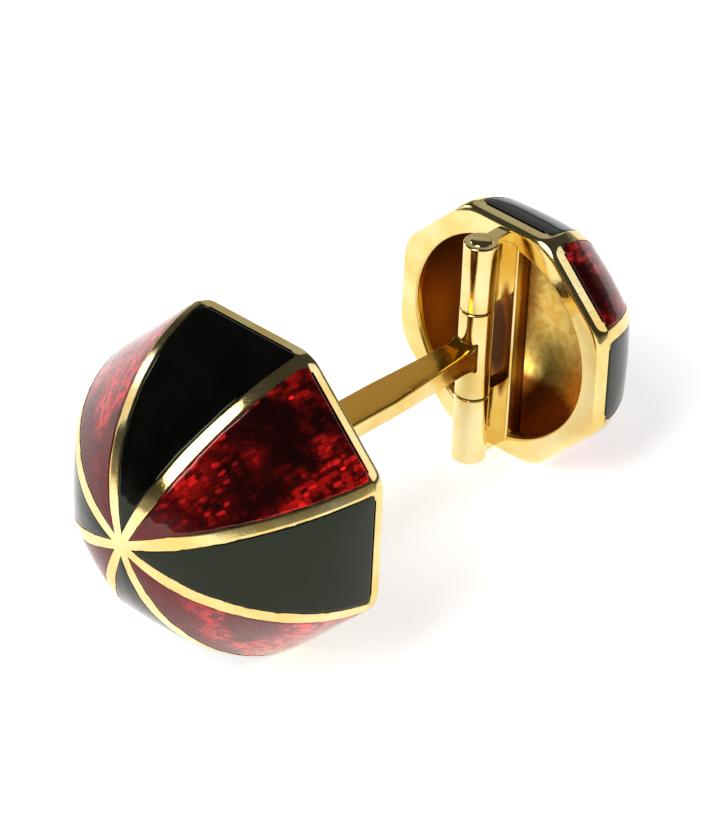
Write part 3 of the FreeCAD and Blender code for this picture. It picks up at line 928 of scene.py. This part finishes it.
def strip(dome, levels):
    """The strip's solid, its unpolished sides with painted shade, and the painted shadow behind a hinge.
    """
    middle = (BRIDGE_DEPTH - BRIDGE_PROUD) / 2
    outline = rounded_oblong(middle + BRIDGE_PROUD, dome.bridge, BRIDGE_ROUND)
    half_way = len(outline) // 2
    face = [(-middle - BRIDGE_PROUD, share * dome.bridge) for share in FACE_SHARES]
    outline = outline[:half_way] + face + outline[half_way:]
    grip = dome.opening + BRIDGE_GRIP
    in_hollow = [float(middle + x > BRIDGE_ROUND) for x, y in outline]
    rows, dull, grime = [], [], []
    for level in (-1.0, *levels, 1.0):
        at_end = abs(level) == 1.0
        reaches = [math.sqrt(grip ** 2 - y ** 2) if at_end else grip for x, y in outline]
        rows.append([(middle + x, y, level * reach) for (x, y), reach in zip(outline, reaches)])
        hinge_shadow = [hinge_shadow_at(level, spot[1] / dome.bridge) if spot in face else 0.0 for spot in outline]
        dull += in_hollow
        # painted shade: dark brown on the strip's sides, and the painted shadow behind the hinge
        grime += [max(STRIP_SIDE_SHADE * hollow, soot_and_deep_shade) for hollow, soot_and_deep_shade in zip(in_hollow, hinge_shadow)]
    return (*lofted(rows), {"inside": dull, "grime": grime})


behind_hinge = [*spaced(-HINGE_SHADOW_LENGTH, HINGE_SHADOW_LENGTH, HINGE_SHADOW_STEPS), HINGE_SHADOW_LENGTH]
for dome, levels in ((front, ()), (toggle, behind_hinge)):
    mesh = mesh_of(f"{dome.body}_strip", *strip(dome, levels))
    finish_piece(f"{dome.body}_gold_strip", mesh, dome.axes, dome.body, "gold", [f"{dome.body}_bridge"])

# %% [markdown]
# The post is a flat bar, filed to a squarer neck where it meets the hinge. Solder runs into both
# of its joints and leaves a small hollow fillet there. Rows of the rounded oblong, each with its
# own width and thickness, make the bar and its fillets in one go. Both flats are marked for a
# deeper gold, which is painted shade.

# %% The post
POST_ROUND = 0.1
POST_SIDE, POST_FACE = 0.82, 0.35
NECK_SIDE, NECK_FACE = 0.48, 0.5
TAPER_FROM = 7.0
# Each station: distance from the front dome, then the solder's fillet across and up
STATIONS = ((-0.86, -0.05, -0.05), (-0.8, 0.0, 0.0), (-0.02, 0.0, 0.0), (0.0, 0.24, 0.24),
            (0.06, 0.13, 0.13), (0.14, 0.06, 0.06), (0.26, 0.02, 0.02), (0.42, 0.0, 0.0),
            (2.5, 0.0, 0.0), (4.8, 0.0, 0.0), (TAPER_FROM, 0.0, 0.0), (8.6, 0.0, 0.0),
            (10.0, 0.0, 0.0), (11.15, 0.0, 0.0), (11.4, 0.01, 0.02), (11.54, 0.02, 0.05),
            (11.64, 0.03, 0.1), (11.74, 0.04, 0.17), (11.95, 0.02, 0.19))


def post_size(reach):
    """Half width and half thickness of the bar at a distance from the front dome."""
    share = max(reach - TAPER_FROM, 0.0) / (HINGE_REACH - TAPER_FROM)
    return POST_SIDE + (NECK_SIDE - POST_SIDE) * share, POST_FACE + (NECK_FACE - POST_FACE) * share


rows, worn = [], []
for reach, swell_across, swell_up in STATIONS:
    side, face = post_size(reach)
    outline = rounded_oblong(side + swell_across, face + swell_up, POST_ROUND)
    rows.append([(-reach, y, z) for y, z in outline])
    shoulder = face + swell_up - POST_ROUND
    # both flats are marked for a deeper gold, as painted shade
    worn += [max(abs(z) - shoulder, 0.0) / POST_ROUND for y, z in outline]
mesh = mesh_of("post_bar", *lofted(rows), {"worn": worn})
finish_piece("gold_post", mesh, FRONT, "front", "gold", ["post"])

# %% [markdown]
# The hinge is three lengths of tube on a pin, like a door's. Blender's own cylinders have sharp ends
# and no bore. Turned work is a profile swept round an axis, so one function that does this makes
# tubes and pin alike, with the softened ends that a file leaves.

# %% Turned work
TURN_STEPS = 72
BARREL = 0.68
TUBE_ROUND = 0.07


def lathe(profile, closed=False):
    """Sweeps a profile of radius and height round the hinge pin."""
    count = len(profile)
    points = []
    for k in range(TURN_STEPS):
        angle = math.tau * k / TURN_STEPS
        points += [(r * math.cos(angle), r * math.sin(angle), z) for r, z in profile]
    faces = []
    for k in range(TURN_STEPS):
        here, after = k * count, (k + 1) % TURN_STEPS * count
        for j in range(count if closed else count - 1):
            more = (j + 1) % count
            faces.append((here + j, after + j, after + more, here + more))
    return points, faces


def tube(low, high, bore):
    """A length of hinge tube with softened ends."""
    lower = [(BARREL - TUBE_ROUND * (1 - math.sin(a)), low + TUBE_ROUND * (1 - math.cos(a)))
             for a in quarter_turn()]
    upper = [(r, low + high - z) for r, z in reversed(lower)]
    return lathe([(bore, low), *lower, *upper, (bore, high)], closed=True)


print("the hinge tube is", round(2 * BARREL, 2), "mm thick")

# %% [markdown]
# The two outer tubes stand on narrow webs, which leave the dark slot behind the middle one. Tube
# and web are soldered into one piece, and two shells that only overlap would show a seam in other
# programs, so a Boolean union makes one closed solid of them.

# %% Outer tubes on their webs
WEB_HALF = 0.3
WEB_ROUND = 0.06
WEB_SINK = 0.6


def web(low, high):
    """The upright between an outer tube and the strip."""
    near, far = -BARREL * WEB_SINK, -HINGE_STANDOFF
    middle, half = (near + far) / 2, (near - far) / 2
    outline = rounded_oblong(WEB_HALF, (high - low) / 2, WEB_ROUND)
    rise = (low + high) / 2
    return lofted([[(middle + way * half, y, rise + z) for y, z in outline] for way in (-1, 1)])


def fused(first, second):
    """One closed solid from two that overlap."""
    clean(first)
    clean(second)
    helper = helper_for(first)
    other = helper_for(second)
    modifier = helper.modifiers.new("fuse", "BOOLEAN")
    modifier.operation = "UNION"
    modifier.solver = "EXACT"
    modifier.object = other
    result = result_of(helper, modifier)
    bpy.data.objects.remove(other)
    return result


print("a web reaches", round(HINGE_STANDOFF - BARREL, 2), "mm from the tube to the strip")

# %% [markdown]
# The middle tube belongs to the post and turns on the pin, so its bore has a little play. A still
# picture wouldn't need that, but here the toggle moves. The outer tubes hold the pin fast, and its
# ends are hammered over into low, round heads.

# %% The three knuckles and the pin
BARREL_LENGTH = 9.7
MIDDLE_LENGTH = 3.8
KNUCKLE_GAP = 0.05
PIN = 0.35
PIN_PLAY = 0.03
PIN_HEAD = 0.44
PIN_CROWN = 0.1

half_middle, half_barrel = MIDDLE_LENGTH / 2, BARREL_LENGTH / 2
mesh = mesh_of("middle_tube", *tube(-half_middle, half_middle, PIN + PIN_PLAY))
finish_piece("gold_middle_knuckle", mesh, HINGE, "front", "gold", ["post_knuckle"])
for name, low, high in (("upper", half_middle + KNUCKLE_GAP, half_barrel),
                        ("lower", -half_barrel, -half_middle - KNUCKLE_GAP)):
    mesh = fused(mesh_of(f"{name}_tube", *tube(low, high, PIN)), mesh_of(f"{name}_web", *web(low, high)))
    finish_piece(f"gold_{name}_knuckle", mesh, HINGE, "toggle", "gold", [f"{name}_knuckle"])

head = [(PIN_HEAD * math.sin(a), half_barrel + PIN_CROWN * math.cos(a)) for a in quarter_turn()]
profile = head + [(PIN, half_barrel)]
profile += [(r, -z) for r, z in reversed(profile)]
mesh = mesh_of("pin", *lathe(profile))
finish_piece("gold_hinge_pin", mesh, HINGE, "toggle", "gold", ["hinge_pin"])

# %% [markdown]
# The cufflink lies on a white table. The table glows a little, so that it stays white in the
# picture and lights the gold from below, as a photographer's light table does.

# %% The table
TABLE_HALF = 0.9
TABLE_GLOW = 0.72
TABLE_WHITE, TABLE_BRIGHT = srgb(250, 250, 250), srgb(253, 253, 253)
TABLE_GRAIN, TABLE_STEP = 0.05, (0.3, 0.7)
TABLE_DULL, TABLE_DULL_MORE = 0.7, 0.1

table_finish, shader, place = new_finish("white_table")
clouding = step(noise(place, TABLE_GRAIN, detail=3.0), *TABLE_STEP)
feed(shader, "Base Color", blend(clouding, TABLE_WHITE, TABLE_BRIGHT))
feed(shader, "Roughness", TABLE_DULL + clouding * TABLE_DULL_MORE)
shader.inputs["Emission Color"].default_value = (1.0, 1.0, 1.0, 1.0)
shader.inputs["Emission Strength"].default_value = TABLE_GLOW
corners = [(x * TABLE_HALF, y * TABLE_HALF, 0) for x, y in ((-1, -1), (1, -1), (1, 1), (-1, 1))]
mesh = mesh_of("table", corners, [(0, 1, 2, 3)])
mesh.transform(Matrix.Translation((0, 0, cad_box[0].z)))
mesh.materials.append(table_finish)
table = bpy.data.objects.new("table", mesh)
bpy.context.scene.collection.objects.link(table)
print("the table is", 2 * TABLE_HALF, "m wide")

# %% [markdown]
# Enamel and polished gold only show what is round them. Small bare lamps would show as dots, so
# these are wide discs of soft light. The tall lamp draws the white line on the ribs, the lamps at
# both sides light the toggle's rim and the far red panels, and a dim panel behind shows in whatever
# faces up.

# %% Soft lamps
# Each lamp: name, azimuth and elevation in degrees, distance, width and height in metres, brightness
LAMPS = (("tall_lamp", 86.0, 48.0, 0.45, 0.24, 0.5, 5.0),
         ("right_lamp", 228.0, 29.0, 0.5, 0.13, 0.13, 1.15),
         ("left_lamp", 2.0, 22.0, 0.5, 0.09, 0.09, 4.0),
         ("left_panel", 8.0, 18.0, 0.5, 0.25, 0.25, 1.0),
         ("back_panel", 306.0, 21.0, 0.5, 0.36, 0.26, 0.4))


def direction(azimuth, elevation):
    """Unit vector towards a place round the object, as a camera angle is given."""
    a, e = math.radians(azimuth), math.radians(elevation)
    return Vector((math.sin(a) * math.cos(e), -math.cos(a) * math.cos(e), math.sin(e)))


for name, azimuth, elevation, away, wide, tall, brightness in LAMPS:
    lamp = bpy.data.lights.new(name, "AREA")
    lamp.shape = "ELLIPSE"
    lamp.size, lamp.size_y = wide, tall
    area = math.pi / 4 * wide * tall
    lamp.energy = brightness * math.pi * area
    holder = bpy.data.objects.new(name, lamp)
    holder.location = direction(azimuth, elevation) * away
    holder.rotation_euler = direction(azimuth, elevation).to_track_quat("Z", "Y").to_euler()
    bpy.context.scene.collection.objects.link(holder)
    print(name, "gives", round(lamp.energy, 3), "watts")

# %% [markdown]
# The room beyond the lamps is a pale band at the horizon under a dark ceiling. That makes the
# enamel black where it looks up. Seen straight on, the room is as white as the table, so that no
# edge shows behind the cufflink.

# %% The room
HORIZON = (0.3, 0.3, 0.3, 1.0)
CEILING = (0.05, 0.05, 0.05, 1.0)
BACKDROP = (0.95, 0.95, 0.95, 1.0)
CEILING_STEP = (0.0, 0.25)

world = bpy.data.worlds.new("room")
world.use_nodes = True
background = world.node_tree.nodes["Background"]
sky = Wire(world.node_tree.nodes.new("ShaderNodeTexCoord").outputs["Generated"])
height = sky.node("ShaderNodeSeparateXYZ", None, {"Vector": sky}, output="Z")
mirrored_room = blend(step(height, *CEILING_STEP), HORIZON, CEILING)
seen = sky.node("ShaderNodeLightPath", output="Is Camera Ray")
feed(background, "Color", blend(seen, mirrored_room, BACKDROP))
bpy.context.scene.world = world
bpy.context.scene.view_settings.view_transform = "Standard"
print("the room has", len(world.node_tree.nodes), "nodes")

# %% [markdown]
# The camera stands where the photograph was taken from: a little above, looking past the front
# dome to the toggle. A long lens keeps the small piece from looking stretched.

# %% Camera
VIEW_AZIMUTH = 133.9
VIEW_ELEVATION = 37.3
VIEW_ROLL = -1.8
VIEW_DISTANCE = 0.259
VIEW_AIM = Vector((0.0, 0.0, 0.0060))
LENS = 300.0
NEAREST = 0.01

camera_data = bpy.data.cameras.new("camera")
camera_data.lens = LENS
camera_data.clip_start = NEAREST
camera = bpy.data.objects.new("camera", camera_data)
back = direction(VIEW_AZIMUTH, VIEW_ELEVATION)
camera.location = VIEW_AIM + back * VIEW_DISTANCE
upright = (-back).to_track_quat("-Z", "Y")
camera.rotation_euler = (upright @ Quaternion((0, 0, 1), math.radians(VIEW_ROLL))).to_euler()
bpy.context.scene.collection.objects.link(camera)
bpy.context.scene.camera = camera
print("the camera stands", [round(v / MM) for v in camera.location], "mm from the middle of the table")

# %% [markdown]
